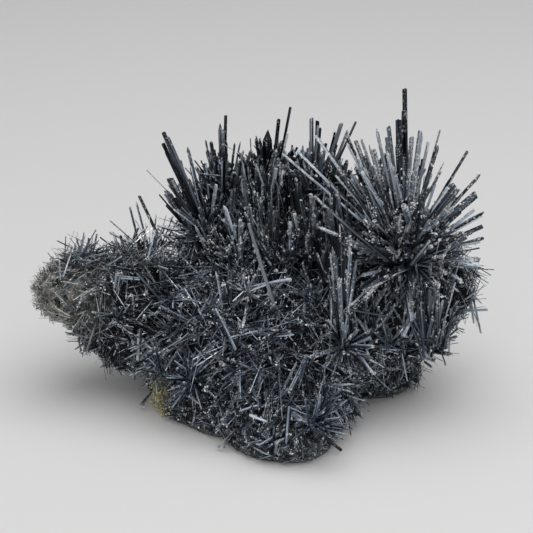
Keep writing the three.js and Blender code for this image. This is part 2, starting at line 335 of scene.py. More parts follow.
class Finish:
    # A material in the making. node() makes any node: its type, its settings, then the values or links of
    # its sockets.
    def __init__(self, name):
        self.material = bpy.data.materials.new(name)
        self.material.use_nodes = True
        self.tree = self.material.node_tree
        self.tree.nodes.clear()

    def node(self, kind, settings=None, sockets=None, out=0):
        made = self.tree.nodes.new(kind)
        for key, value in (settings or {}).items():
            if key == "stops":
                ramp = made.color_ramp
                while len(ramp.elements) < len(value):
                    ramp.elements.new(0.5)
                for element, (place, colour) in zip(ramp.elements, value, strict=True):
                    element.position = place
                    element.color = (*colour, 1)
            else:
                setattr(made, key, value)
        for key, value in (sockets or {}).items():
            if isinstance(value, Value):
                self.tree.links.new(value.socket, made.inputs[key])
            else:
                made.inputs[key].default_value = value
        return Value(self, made.outputs[out]) if made.outputs else None

    def number(self, name):
        return self.node("ShaderNodeAttribute", {"attribute_name": name}, out="Fac")

    def place(self):
        return self.node("ShaderNodeTexCoord", out="Object")

    def ramp(self, value, stops):
        return self.node("ShaderNodeValToRGB", {"stops": stops}, {"Fac": value})

    def blend(self, share, first, second):
        # inputs 6 and 7 are the two colours, output 2 the mixed one
        return self.node("ShaderNodeMix", {"data_type": "RGBA"}, {0: share, 6: first, 7: second}, out=2)

    def noise(self, vector, scale, detail=3, roughness=0.55):
        sockets = {"Vector": vector, "Scale": scale, "Detail": detail, "Roughness": roughness}
        return self.node("ShaderNodeTexNoise", sockets=sockets)

    def near(self, centre, radius):
        # 1 at the centre, falling to 0 at the radius
        sockets = {0: self.place(), 1: [side * mm for side in centre]}
        gap = self.node("ShaderNodeVectorMath", {"operation": "DISTANCE"}, sockets, out="Value")
        return (1 - gap * (1 / (radius * mm))).clamped()

    def finish(self, **sockets):
        named = {name.replace("_", " "): value for name, value in sockets.items()}
        shader = self.node("ShaderNodeBsdfPrincipled", sockets=named)
        self.node("ShaderNodeOutputMaterial", sockets={"Surface": shader})
        return self.material


# Stains on the mass, in millimetres: centre, radius, strength and colour. No bed grows nearer to the
# sulphur's centre than its bare radius.
stains = {
    "dust": {"at": (-72, 2, 36), "radius": 25, "strength": 1.1, "colour": (0.56, 0.54, 0.49, 1)},
    "sulphur": {
        "at": (-37, -8, 5), "radius": 12, "bare": 7.5, "strength": 0.8, "colour": (0.34, 0.32, 0.19, 1),
    },
    "red": {"at": (49, -4, 8), "radius": 4, "strength": 6, "colour": (0.4, 0.03, 0.015, 1)},
}
stainPatches = {"scale": 330, "contrast": 6, "shift": 2.3, "cover": 0.75}


def stained(f, colour):
    # Each stain over the colour, strongest at its centre and broken up by fine noise.
    form = stainPatches
    patches = f.noise(f.place(), form["scale"], 3, 0.7) * form["contrast"] - form["shift"]
    for stain in stains.values():
        share = (f.near(stain["at"], stain["radius"]) * stain["strength"] * patches).clamped()
        colour = f.blend(share * form["cover"], colour, stain["colour"])
    return colour


# The pale crust in the finishes: its specks' and patches' scales, the crispness of its edge, how far it hides
# what is under it, and its colours.
crustLook = {
    "specks": 1300, "prismPatches": 160, "needlePatches": 240, "edge": 7, "hides": 0.9,
    "onPrisms": (0.66, 0.67, 0.67, 1), "onNeedles": (0.68, 0.69, 0.69, 1),
}


def prismFinish(name, dark, light, crust):
    # Steel-like: streaks along the prism between the dark and the light, under a pale crust that is thicker
    # towards the tip and in patches. crust is how far it spreads.
    look = crustLook
    f = Finish(name)
    tone = f.number("tone")
    along = f.number("along")
    grain = f.node("ShaderNodeUVMap", {"uv_map": "grain"})
    scaling = {"Vector": grain, "Scale": (2.4, 0.06, 1)}
    stretched = f.node("ShaderNodeMapping", {"vector_type": "POINT"}, scaling)
    streak = f.noise(stretched, 1.0, 4)
    middle = [(a + b) / 2.8 for a, b in zip(dark, light, strict=True)]
    lustre = f.ramp(tone * 0.8 + streak * 1.4 - 0.6, [(0.15, dark), (0.55, middle), (0.92, light)])
    specks = f.noise(f.place(), look["specks"], 3, 0.75)
    patches = f.noise(f.place(), look["prismPatches"], 2)
    cover = along * 0.4 + specks * 1.9 + patches * 0.8 + tone * 0.2 - (2.1 - crust)
    cover = (cover * look["edge"]).clamped()
    colour = f.blend(cover * look["hides"], lustre, look["onPrisms"])
    relief = {"Strength": 0.6, "Distance": 0.12 * mm, "Height": streak + cover * 0.6}
    bump = f.node("ShaderNodeBump", sockets=relief)
    return f.finish(
        Base_Color=colour,
        Metallic=0.92 - cover * 0.85,
        Roughness=0.27 + streak * 0.15 + cover * 0.35,
        Specular_IOR_Level=0.3,
        Normal=bump,
    )


def needleFinish(name, stops, crust):
    # A colour for each needle from its own tone, under pale crust towards the tips.
    look = crustLook
    f = Finish(name)
    shade = f.noise(f.place(), 450, 2, 0.7)
    colour = f.ramp(f.number("tone") + shade * 0.8 - 0.4, stops)
    patches = f.noise(f.place(), look["needlePatches"], 2)
    specks = f.noise(f.place(), look["specks"], 3, 0.75)
    cover = f.number("along") * 0.4 + patches * 0.8 + specks * 2.2 - (2.2 - crust)
    cover = (cover * look["edge"]).clamped()
    dusted = f.blend(cover * look["hides"], colour, look["onNeedles"])
    return f.finish(
        Base_Color=stained(f, dusted),
        Metallic=0.75 - cover * 0.65,
        Roughness=0.36 + cover * 0.35,
        Specular_IOR_Level=0.15,
    )


def coreFinish():
    # Nearly black grit: partly the mass's own dark colour, partly painted shade for the deep gaps between the
    # needles. Lighter near the floor.
    f = Finish("darkCoreAndPaintedShade")
    grain = f.noise(f.place(), 700, 4, 0.7)
    wide = f.noise(f.place(), 60, 2)
    stops = [(0.3, (0.006, 0.006, 0.007)), (0.6, (0.02, 0.021, 0.023)), (0.9, (0.22, 0.225, 0.23))]
    lowBelow = 26 * mm
    height = f.node("ShaderNodeSeparateXYZ", sockets={"Vector": f.place()}, out="Z")
    low = (1 - height * (1 / lowBelow)).clamped()
    colour = f.ramp(grain * 0.7 + wide * 0.4 + low * 0.3 - 0.1, stops)
    bump = f.node("ShaderNodeBump", sockets={"Strength": 0.8, "Distance": 0.4 * mm, "Height": grain})
    return f.finish(
        Base_Color=stained(f, colour), Roughness=0.85, Metallic=0.1, Specular_IOR_Level=0.1, Normal=bump
    )


def crustFinish(name, stops):
    # Sugary grains, each of its own tone.
    f = Finish(name)
    speck = f.noise(f.place(), 1500, 2)
    colour = f.ramp(f.number("tone") * 0.8 + speck * 0.3, stops)
    return f.finish(Base_Color=colour, Roughness=0.22 + speck * 0.3)


finishes = {
    "blue": prismFinish("blueGreyPrism", (0.014, 0.02, 0.03), (0.38, 0.46, 0.56), 0.12),
    "black": prismFinish("blackPrism", (0.006, 0.009, 0.014), (0.42, 0.48, 0.56), 0.17),
    "crusted": prismFinish("crustedPrism", (0.008, 0.012, 0.019), (0.44, 0.51, 0.6), 0.24),
    "pale": prismFinish("palePrism", (0.13, 0.15, 0.175), (0.7, 0.75, 0.8), 0.2),
    "core": coreFinish(),
    "crust": crustFinish("paleCrust", [
        (0.1, (0.3, 0.305, 0.31)), (0.45, (0.62, 0.63, 0.64)), (0.9, (0.95, 0.96, 0.98)),
    ]),
    "sulphur": crustFinish("sulphurCrust", [
        (0.1, (0.3, 0.25, 0.1)), (0.5, (0.55, 0.48, 0.2)), (0.95, (0.75, 0.7, 0.4)),
    ]),
    "fine": needleFinish("fineNeedles", [
        (0.0, (0.006, 0.009, 0.014)), (0.45, (0.032, 0.042, 0.056)),
        (0.75, (0.26, 0.3, 0.355)), (1.0, (0.8, 0.85, 0.9)),
    ], 0.22),
    # The felt deep between the blades: its dark colour is partly the needles' own and partly painted shade
    # for the gaps.
    "felt": needleFinish("darkFeltAndPaintedShade", [
        (0.0, (0.006, 0.008, 0.011)), (0.6, (0.025, 0.031, 0.04)), (1.0, (0.13, 0.15, 0.18)),
    ], 0.0),
    "fur": needleFinish("feltedFur", [
        (0.0, (0.008, 0.01, 0.013)), (0.45, (0.035, 0.041, 0.05)),
        (0.75, (0.28, 0.305, 0.335)), (1.0, (0.9, 0.92, 0.94)),
    ], 0.18),
}


def dress(piece, finish, slot, *stoodFor):
    # Gives a piece its finish and its body, and hides the nodes that it stands for. The slot is not used.
    piece.data.materials.append(finishes[finish])
    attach(piece, "root")
    if stoodFor:
        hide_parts(*stoodFor)
    return piece


# Sprays in millimetres. Their roots, tips and plain fans stand where the frame's own do, and a few are
# thinner. Each tip is x, y, z and width, and where they are its own, its thickness and its point's length,
# both over the width. Each fan is its axis, the lean that it starts from and opens to, its count, lengths
# and widths. The fine fans fill the spray with more prisms. spread sets the feet apart, and tangle loosens
# the fine fans' feet and directions.
plainWidths = (0.8, 1.5)
fineWidths = (0.4, 1.15)
sprays = {
    "right_fan": {
        "root": (57, -11, 24.5), "finish": "crusted",
        "tips": [
            (56, -15, 58, 1.6), (60, -14, 59, 1.5), (63, -11, 57, 1.8), (66, -8, 55, 1.3),
            (53, -17, 53, 1.5),
        ],
        "fans": [((0.2, -0.5, 0.8), 0, 50, 5, (12, 20), plainWidths)],
        "fine": [
            ((-0.04, 0, 1), 0, 11, 46, (14, 31), (0.6, 1.5)),
            ((0.35, 0.1, 1), 0, 16, 14, (8, 17), (0.6, 1.3)),
            ((0.1, -0.6, 0.8), 0, 60, 24, (4, 10), fineWidths),
        ],
        "tangle": 1.8,
    },
    "middle_spray": {
        "root": (28, -22, 31), "finish": "crusted",
        "tips": [
            (27, -14, 68, 3.2), (30, -12, 66, 2), (24, -14, 63, 1.9), (32, -15, 58, 1.5), (23, -17, 54, 1.3),
        ],
        "fans": [((0.1, -0.9, 0.25), 30, 88, 9, (8, 15), plainWidths)],
        "fine": [
            ((0, 0.15, 1), 0, 16, 9, (12, 26), (0.6, 1.3)),
            ((0.1, -0.9, 0.25), 15, 92, 50, (4, 12), fineWidths),
        ],
    },
    "great_spray": {
        "root": (48, -5, 55), "finish": "crusted",
        "tips": [
            (48, 10, 109, 1.8, 0.8, 0.2), (46, 5, 100, 2.1, 0.7, 0.2),
            (43, 10, 96, 1.5), (42, 4, 94, 1.4), (39, 12, 95, 1.6),
            (38, 4, 90, 1.3), (34, 8, 92, 1.3), (29, 10, 93, 2.6, 0.4), (50, -1, 96, 1.5), (53, 2, 97, 1.8),
            (54, 9, 93, 1.3), (56, 6, 92, 1.1), (60, 9, 95, 0.9), (59, 3, 92, 1.5), (69, 5, 89, 1.3),
            (65, 0, 79, 3.2, 0.6), (74, 6, 81, 1.5), (72, 0, 76, 2.3), (75, -1, 70, 1.5), (74, -4, 66, 1.4),
            (73, -8, 62, 1.3), (74, -2, 51, 1.6), (28, -24, 43, 2.2), (31, -9, 61, 1.2), (31, -9, 56, 1.2),
            (19, 12, 92, 1.2), (13, 11, 87, 1.2), (8, 11, 86, 1.1), (26, 1, 85, 1.2),
        ],
        "fans": [
            ((0.1, -0.85, 0.5), 38, 92, 15, (13, 27), plainWidths),
            ((0.3, 0.6, 0.8), 0, 60, 7, (22, 34), plainWidths),
        ],
        "fine": [
            ((0, -0.9, 0.45), 55, 100, 190, (5, 16), (0.5, 1.6)),
            ((0.1, 0.1, 1), 0, 64, 210, (8, 20), (0.6, 2)),
            ((0.8, -0.5, 0.5), 0, 34, 14, (14, 21), (1.7, 3)),
            ((-0.1, -0.5, 0.85), 0, 30, 10, (12, 19), (1.6, 2.8)),
            ((0.2, 0.25, 1), 0, 50, 50, (18, 33), (0.6, 1.6)),
            ((-0.8, 0.3, 0.75), 0, 24, 12, (20, 42), (0.5, 1.1)),
            ((-0.4, 0.35, 1), 0, 16, 50, (14, 38), (0.7, 1.7)),
            ((1, 0.1, -0.1), 0, 42, 46, (9, 20), (0.6, 1.6)),
        ],
        "tangle": 2.2,
    },
    "back_stand_middle": {
        "root": (4, 30, 68), "spread": 0.3, "finish": "black",
        "tips": [
            (-1, 30, 87, 2.4, 0.6, 2), (3, 31, 89, 3, 0.5, 2), (7, 30, 92, 1.3), (11, 31, 96, 1.4),
            (10, 27, 88, 1), (12, 28, 82, 1.2), (14, 26, 81, 1.1), (6, 26, 83, 1.6), (0, 26, 80, 1.4),
        ],
        "fans": [((0, 0.15, 1), 0, 40, 5, (9, 18), plainWidths)],
        "fine": [((0, -0.1, 1), 0, 42, 60, (6, 17), (0.5, 1.6))],
    },
    "back_stand_left": {
        "root": (-12, 30, 63), "spread": 0.35, "finish": "black",
        "tips": [
            (-18, 31, 84, 1), (-16, 29, 84, 1.8), (-13, 30, 91, 2), (-11, 31, 93, 1.6), (-8, 29, 84, 0.9),
            (-6, 31, 84, 0.9), (-5, 27, 82, 1),
        ],
        "fans": [((-0.15, 0.15, 1), 0, 40, 5, (9, 19), plainWidths)],
        "fine": [((-0.1, -0.1, 1), 0, 40, 60, (7, 19), (0.5, 1.6))],
    },
    "back_stand_right": {
        "root": (19, 25, 66), "spread": 0.2, "finish": "black",
        "tips": [
            (18, 28, 93, 1.4), (20, 28, 92, 1.5), (21, 26, 90, 1.2), (28, 22, 93, 1.4), (30, 20, 91, 1.3),
            (26, 23, 90, 1.1), (33, 24, 93, 1.2), (23, 28, 84, 1.5),
        ],
        "fans": [((0.1, 0.2, 1), 0, 44, 5, (9, 19), plainWidths)],
        "fine": [((0, -0.1, 1), 0, 44, 60, (6, 18), (0.5, 1.6))],
    },
    "back_left_fan": {
        "root": (-17, 18, 54), "finish": "black",
        "tips": [
            (-32, 25, 89, 2), (-32, 19, 87, 1.4), (-24, 22, 85, 1.3), (-21, 16, 75, 1.2), (-27, 16, 71, 1),
            (-14, 14, 74, 1.3),
        ],
        "fans": [((-0.4, -0.3, 1), 0, 55, 6, (10, 18), plainWidths)],
        "fine": [((-0.4, -0.3, 1), 0, 65, 60, (6, 17), fineWidths)],
    },
    "inner_bundle_left": {
        "root": (-6, 3, 51.5), "spread": 0.4, "finish": "crusted",
        "tips": [(-8, 6, 64, 2.1), (-6, 5, 65, 1.7), (-4, 4, 62, 1.8), (-9, 3, 60, 1.2)],
        "fans": [((0, -0.4, 1), 0, 60, 4, (8, 13), plainWidths)],
        "fine": [((0, -0.3, 1), 0, 60, 40, (5, 12), (0.5, 1.5))],
    },
    "inner_bundle_right": {
        "root": (14, 3, 51.5), "spread": 0.4, "finish": "crusted",
        "tips": [(12, 5, 68, 2.1), (14, 4, 67, 1.7), (17, 5, 65, 1.5), (10, 3, 62, 1.2)],
        "fans": [((0, -0.4, 1), 0, 60, 4, (8, 13), plainWidths)],
        "fine": [((0, -0.3, 1), 0, 55, 40, (6, 15), (0.5, 1.5))],
    },
    "pale_prism": {"root": (6, -17, 41), "finish": "pale", "tips": [(-3, -9, 69, 1.5)]},
    "cross_needle": {"root": (45, -15, 38), "finish": "pale", "tips": [(28, -24, 45, 0.9)]},
    "white_star": {
        "root": (-4, -13, 46), "finish": "pale",
        "fans": [((0, -0.7, 0.7), 0, 80, 8, (6, 10), (0.7, 1))],
        "fine": [((0, -0.7, 0.7), 0, 85, 20, (3, 7), (0.3, 0.7))],
    },
    "blue_prism": {"root": (-26, -9, 34), "finish": "blue", "tips": [(-41, -4, 50, 0.9)]},
    "left_v_pair": {
        "root": (-40, -6.5, 19), "finish": "pale",
        "tips": [(-39, -10, 32, 1.4), (-31, -12, 29, 1.4)],
    },
    "front_blades": {
        "root": (-22, -23, 19), "finish": "blue",
        "fans": [((0, -0.85, 0.5), 0, 75, 7, (8, 14), (0.6, 1))],
        "fine": [((0, -0.85, 0.5), 20, 88, 44, (5, 13), (0.3, 0.75))],
    },
    "tongue_spray": {
        "root": (18, -45, 14), "finish": "blue",
        "fans": [((0.8, -0.3, 0.5), 0, 50, 6, (8, 13), (0.6, 1))],
        "fine": [
            ((0.8, -0.3, 0.5), 0, 60, 50, (6, 13), (0.3, 0.8)),
            ((-0.6, -0.4, 0.7), 10, 80, 30, (4, 12), (0.3, 0.7)),
        ],
    },
    "tongue_needle": {"root": (10, -41, 18), "finish": "blue", "tips": [(9, -51.5, 9, 1.3)]},
    "tongue_pair": {
        "root": (16, -30, 31), "finish": "blue",
        "tips": [(10, -40, 22, 1.8), (13, -41, 24, 1.4)],
    },
    "left_needle_1": {"root": (-41, 25, 47), "finish": "black", "tips": [(-44, 25, 62, 1)]},
    "left_needle_2": {"root": (-38, 25, 47), "finish": "black", "tips": [(-42, 26, 64, 1)]},
    "left_needle_3": {"root": (-30, 25, 42), "finish": "black", "tips": [(-41, 28, 65, 1.1)]},
}

# The small sprays: a plain and a fine fan about one axis. The fine fan's lengths are shares of the plain's.
smallSpray = {
    "open": 48, "count": 5, "length": (8, 14), "width": (0.5, 0.9), "rearReach": 1.15,
    "fineFrom": 15, "fineOpen": 80, "fineCount": 24, "fineLength": (0.35, 0.7), "fineWidth": (0.3, 0.7),
}
smallSprays = {
    "slope_spray_1": ((-29, -4, 40), (-0.7, -0.5, 0.5)),
    "slope_spray_2": ((-14, -18, 39), (0.5, -0.6, 0.6)),
    "slope_spray_3": ((-6, -27, 26), (-0.5, -0.7, 0.4)),
    "slope_spray_4": ((4, -24, 35), (0.7, -0.6, 0.5)),
    "slope_spray_5": ((18, -12, 44), (-0.4, -0.4, 0.9)),
    "slope_spray_6": ((43, -20, 30), (-0.3, -0.6, 0.7)),
    "arm_spray_1": ((-49, 0, 50), (0.9, -0.2, 0.35)),
    "arm_spray_2": ((-60, 6, 51), (0.8, 0.1, 0.5)),
    "arm_spray_3": ((-47, -10, 35), (0.6, -0.5, 0.5)),
    "foot_spray": ((-32, -15, 18), (-0.3, -0.5, 0.8)),
    "tongue_side_spray": ((21, -35, 16), (0.4, -0.6, 0.6)),
    "rear_spray_1": ((-25, 44, 36), (-0.2, 0.9, 0.5)),
    "rear_spray_2": ((8, 50, 30), (0, 1, 0.4)),
    "rear_spray_3": ((42, 41, 35), (0.4, 0.8, 0.5)),
    "rear_spray_4": ((-46, 33, 40), (-0.3, 0.8, 0.5)),
    "right_side_spray": ((62, 31, 36), (0.6, 0.8, 0.3)),
}
for node, (root, axis) in smallSprays.items():
    form = smallSpray
    reach = form["rearReach"] if node.startswith("rear") else 1
    low, high = (reach * side for side in form["length"])
    fineLength = (low * form["fineLength"][0], high * form["fineLength"][1])
    fineLean = (form["fineFrom"], form["fineOpen"])
    sprays[node] = {
        "root": root, "finish": "crusted" if node.startswith("arm") else "blue",
        "fans": [(axis, 0, form["open"], form["count"], (low, high), form["width"])],
        "fine": [(axis, *fineLean, form["fineCount"], fineLength, form["fineWidth"])],
    }


def turnTo(axis):
    # The shortest turn that takes +Y to the axis, as a matrix.
    return np.array(Vector((0, 1, 0)).rotation_difference(Vector(axis)).to_matrix())


def fanWays(axis, bare, opening, count):
    # Directions that turn round the axis by the golden angle and lean out from bare to opening, evenly
    # over the cap.
    i = np.arange(count)
    high, low = math.cos(math.radians(bare)), math.cos(math.radians(opening))
    lean = np.arccos(high + (low - high) * (i + 0.5) / count)
    turn = i * goldenTurn
    ways = np.stack([np.sin(lean) * np.sin(turn), np.cos(lean), np.sin(lean) * np.cos(turn)], axis=1)
    return ways @ turnTo(axis).T


fanForm = {
    "flat": 0.72,  # thickness over width
    "fineFlat": (0.45, 0.95),
    "waver": 0.08,  # the fine prisms' loose directions
    "apart": 1.2,  # their feet, in millimetres, and what the spread adds along X and Y
    "spreadApart": (7, 4),
    "out": 3,  # how far along the prism a foot may start, for each step of tangle over 1
}


def prismsOf(spray, rng):
    # Feet, tips, widths, thickness shares and point lengths of a spray's single prisms, its fans and its
    # fine prisms, in millimetres.
    form = fanForm
    root = np.array(spray["root"], float)
    spread, tangle = spray.get("spread", 0), spray.get("tangle", 1)
    feet, tips, widths, flats, points = [], [], [], [], []
    for x, y, z, width, *shape in spray.get("tips", []):
        tip = np.array((x, y, z), float)
        feet.append(root + (tip - root) * (1, 1, 0) * spread)
        tips.append(tip)
        widths.append(width)
        flats.append(shape[0] if shape else form["flat"])
        points.append(shape[1] if len(shape) > 1 else 0)
    for axis, bare, opening, count, length, width in spray.get("fans", []):
        i = np.arange(count)
        reach = length[0] + (length[1] - length[0]) * (i * lengthStep % 1)
        feet.extend([root] * count)
        tips.extend(root + fanWays(axis, bare, opening, count) * reach[:, None])
        widths.extend(width[0] + (width[1] - width[0]) * (i * widthStep % 1))
        flats.extend([form["flat"]] * count)
    for axis, bare, opening, count, length, width in spray.get("fine", []):
        ways = unit(fanWays(axis, bare, opening, count) + rng.normal(0, form["waver"] * tangle, (count, 3)))
        wide, deep = (form["apart"] + side * spread for side in form["spreadApart"])
        foot = root + rng.normal(0, tangle, (count, 3)) * (wide, deep, 1)
        foot = foot + ways * rng.uniform(0, form["out"] * (tangle - 1), count)[:, None]
        feet.extend(foot)
        tips.extend(foot + ways * rng.uniform(*length, count)[:, None])
        widths.extend(rng.uniform(*width, count))
        flats.extend(rng.uniform(*form["fineFlat"], count))
    points = np.concatenate([points, np.zeros(len(feet) - len(points))])
    return np.array(feet), np.array(tips), np.array(widths), np.array(flats), points


bundleForm = {
    "from": 1.25,  # the width, in millimetres
    "companions": 3, "aside": 0.42, "asideEnd": (0.7, 1.3), "width": (0.35, 0.65), "flat": (0.6, 1),
    "start": 0.25, "end": (0.5, 0.96),  # shares of the prism's length
}


def bundled(feet, tips, widths, flats, points, rng):
    # A thick prism is a bundle: thinner prisms lie along its sides and end in steps below its tip.
    form = bundleForm
    owner = np.repeat(np.flatnonzero(widths > form["from"]), form["companions"])
    count = len(owner)
    way = (tips - feet)[owner]
    across, _ = sideways(unit(way), rng)
    aside = across * (form["aside"] * widths[owner])[:, None]
    start = feet[owner] + way * rng.uniform(0, form["start"], count)[:, None] + aside
    end = feet[owner] + way * rng.uniform(*form["end"], count)[:, None]
    end = end + aside * rng.uniform(*form["asideEnd"], count)[:, None]
    thin = widths[owner] * rng.uniform(*form["width"], count)
    return (
        np.concatenate([feet, start]),
        np.concatenate([tips, end]),
        np.concatenate([widths, thin]),
        np.concatenate([flats, rng.uniform(*form["flat"], count)]),
        np.concatenate([points, np.repeat(points[owner[:: form["companions"]]], form["companions"])]),
    )


def camelCase(node):
    first, *others = node.split("_")
    return first + "".join(word.capitalize() for word in others)


sprayFloor = 1.8  # millimetres: a spray's prism with an end below this is left out
crustLiking = {"crusted": 6, "plain": 1, "bed": 5, "forest": 0.8}
crusted = []  # feet, tips, widths and the crust's liking of all that it may grow on
for seed, (node, spray) in enumerate(sprays.items()):
    rng = np.random.default_rng(seed)
    prisms = prismsOf(spray, rng)
    if len(prisms[0]) > 1:
        prisms = bundled(*prisms, rng)
    keep = (prisms[0][:, 2] > sprayFloor) & (prisms[1][:, 2] > sprayFloor)
    feet, tips, widths, flats, points = (side[keep] for side in prisms)
    feet, tips, widths = feet * mm, tips * mm, widths * mm
    piece = growPrisms(camelCase(node), feet, tips, widths, flats, points, seed)
    dress(piece, spray["finish"], "pale_prism" if spray["finish"] == "pale" else "prism", node)
    liking = crustLiking.get(spray["finish"], crustLiking["plain"])
    crusted.append((feet, tips, widths, np.full(len(feet), liking)))
print("sprays:", sum(len(sides[0]) for sides in crusted), "prisms")


# Near the floor and on overhangs the growth is short: the height from which it is whole, how fast it
# shrinks as the surface turns down, and the least share. It is short low on the right too: the place, the
# distance over which a whole share comes back, and the share there.
shortForm = {
    "whole": 24 * mm, "under": 0.8, "least": 0.25,
    "lowRight": (68 * mm, 4 * mm, 26 * mm), "reach": 44 * mm, "there": 0.2,
}


def shortness(points, normals):
    # The share of its full length that growth has at each place: the least of the three.
    form = shortForm
    low = points[:, 2] / form["whole"]
    under = 1 + form["under"] * normals[:, 2]
    aside = form["there"] + distances(points, form["lowRight"]) / form["reach"]
    return np.clip(np.minimum(np.minimum(low, under), aside), form["least"], 1)


coreForm = {
    "voxel": 1.6 * mm, "smoothing": 14, "smoothStep": 0.6, "floorBand": 0.4,
    "inset": 4 * mm, "relief": 4 * mm, "reliefSize": 10 * mm, "reliefSeed": 5,
    "grit": 0.7 * mm, "gritSize": 2.5 * mm, "gritSeed": 6,
    "leastInset": 0.4 * mm, "armShare": 0.4, "armFrom": -56 * mm,
    "whole": 10 * mm, "under": 0.8, "leastShare": 0.15,
    # centre, reach and depth, in metres
    "hollows": [
        ((0.016, -0.008, 0.047), 0.017, 0.011), ((0.037, -0.01, 0.044), 0.013, 0.008),
        ((0.058, -0.013, 0.039), 0.013, 0.007),
    ],
    # centre, reach and height, in metres: a height below 0 sinks the place
    "swells": [
        ((-0.071, 0.006, 0.036), 0.015, 0.005), ((-0.064, 0.018, 0.051), 0.02, -0.003),
        ((-0.02, -0.021, 0.001), 0.02, 0.01), ((0.069, 0.006, 0.04), 0.02, 0.005),
        ((-0.005, -0.031, 0.002), 0.018, 0.007), ((0.026, -0.04, 0.012), 0.015, -0.003),
        ((0.062, 0, 0.02), 0.018, -0.003),
    ],
}


def nearness(points, at, reach):
    # 1 at a place, falling to 0 at its reach
    return np.clip(1 - distances(points, at) / reach, 0, 1)


def makeCore():
    # The frame's solid as an even mesh, smoothed, then sunk along its normals by an inset that slow noise
    # varies. The inset is less at the arm's end, near the floor and on overhangs. Hollows are sunk
    # deeper, and swells stand out.
    form = coreForm
    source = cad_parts["needle_mat"].data
    shell = bmesh.new()
    shell.from_mesh(source)
    bmesh.ops.remove_doubles(shell, verts=shell.verts, dist=1e-6)
    mesh = bpy.data.meshes.new("core")
    shell.to_mesh(mesh)
    shell.free()
    core = bpy.data.objects.new("feltedCore", mesh)
    bpy.context.collection.objects.link(core)
    remesh = core.modifiers.new("even", "REMESH")
    remesh.mode = "VOXEL"
    remesh.voxel_size = form["voxel"]
    even = bpy.data.meshes.new_from_object(core.evaluated_get(bpy.context.evaluated_depsgraph_get()))
    core.modifiers.clear()
    core.data = even
    count = len(even.vertices)
    points = np.empty(count * 3, np.float32)
    even.vertices.foreach_get("co", points)
    points = points.reshape(-1, 3).astype(float)
    edges = np.empty(len(even.edges) * 2, np.int32)
    even.edges.foreach_get("vertices", edges)
    a, b = edges.reshape(-1, 2).T
    links = np.bincount(np.concatenate([a, b]), minlength=count)[:, None]
    floor = points[:, 2] < form["floorBand"] * form["voxel"]
    for _ in range(form["smoothing"]):
        total = np.zeros_like(points)
        np.add.at(total, a, points[b])
        np.add.at(total, b, points[a])
        points = points + form["smoothStep"] * (total / links - points)
        points[floor, 2] = 0
    even.vertices.foreach_set("co", points.astype(np.float32).ravel())
    even.update()
    normals = np.empty(count * 3, np.float32)
    even.vertices.foreach_get("normal", normals)
    normals = normals.reshape(-1, 3)
    sink = form["inset"] + form["relief"] * noiseAt(points, form["reliefSize"], form["reliefSeed"])
    sink = sink * np.where(points[:, 0] < form["armFrom"], form["armShare"], 1)
    under = np.minimum(points[:, 2] / form["whole"], 1 + form["under"] * normals[:, 2])
    sink = sink * np.clip(under, form["leastShare"], 1)
    sink = sink + form["grit"] * noiseAt(points, form["gritSize"], form["gritSeed"])
    for at, reach, depth in form["hollows"]:
        sink = sink + depth * nearness(points, at, reach)
    sink = np.maximum(sink, form["leastInset"])
    for at, reach, height in form["swells"]:
        sink = sink - height * nearness(points, at, reach)
    sunk = points - normals * sink[:, None]
    sunk[:, 2] = np.where(floor, 0, np.maximum(sunk[:, 2], 0))
    even.vertices.foreach_set("co", sunk.astype(np.float32).ravel())
    even.update()
    return core


core = makeCore()
dress(core, "core", "felted_needles", "needle_mat")
print("core:", len(core.data.polygons), "faces")


def surfaceOf(piece):
    # Corners, normals and areas of a piece's triangles.
    mesh = piece.data
    mesh.calc_loop_triangles()
    index = np.empty(len(mesh.loop_triangles) * 3, np.int32)
    mesh.loop_triangles.foreach_get("vertices", index)
    points = np.empty(len(mesh.vertices) * 3, np.float32)
    mesh.vertices.foreach_get("co", points)
    corners = points.reshape(-1, 3)[index.reshape(-1, 3)].astype(float)
    across = np.cross(corners[:, 1] - corners[:, 0], corners[:, 2] - corners[:, 0])
    return corners, unit(across), np.linalg.norm(across, axis=1) / 2


corners, normals, areas = surfaceOf(core)

# Places where nothing is scattered, so that a spray or a dark gap shows, in millimetres: centre, radius.
clearings = [
    ((-4, -13, 46), 4.5), ((36, -20, 41), 5), ((-22, -23, 19), 4),
    ((57, -13, 30), 8), ((59, -12, 42), 10), ((44, -13, 45), 10), ((43, -17, 34), 6), ((16, -6, 47), 9),
]


seedForm = {
    "even": 0.6,  # the share before the dips and rises count
    "low": 1.6, "lowHeight": 18 * mm, "lowMost": 1.2,  # added towards the floor, falling with height
    "hollow": 1.5,
    "range": (0.06, 1.6),
    "floor": 0.5 * mm,
}


def seeds(rng, count, where):
    # Random places on the core, fewer in its dips and more near the floor, kept to where(), out of the
    # clearings and off the flat cut.
    form = seedForm
    middle = corners.mean(axis=1)
    raised = form["even"] - noiseAt(middle, coreForm["reliefSize"], coreForm["reliefSeed"])
    raised = raised + np.clip(form["low"] - middle[:, 2] / form["lowHeight"], 0, form["lowMost"])
    for at, reach, _ in coreForm["hollows"]:
        raised = raised - form["hollow"] * nearness(middle, at, reach)
    raised = np.clip(raised, *form["range"])
    for at, reach in clearings:
        raised = raised * (distances(middle / mm, at) > reach)
    share = areas * raised * where(middle / mm, normals) * (middle[:, 2] > form["floor"])
    face = rng.choice(len(areas), count, p=share / share.sum())
    a, b = np.sort(rng.uniform(0, 1, (2, count)), axis=0)
    c = corners[face]
    return c[:, 0] * a[:, None] + c[:, 1] * (b - a)[:, None] + c[:, 2] * (1 - b)[:, None], normals[face]


tuftForm = {
    "waver": 0.2,  # the roots' loose directions
    "size": (0.65, 1.35),  # a bundle's own share of the length
    "leastSize": 0.35,  # the share that is left where the growth is shortest
    "apart": 0.45 * mm,
    "thinness": 1.7,  # the power that makes thin needles commoner
    "sharedTone": 0.45,  # how much of a needle's tone is its bundle's
}


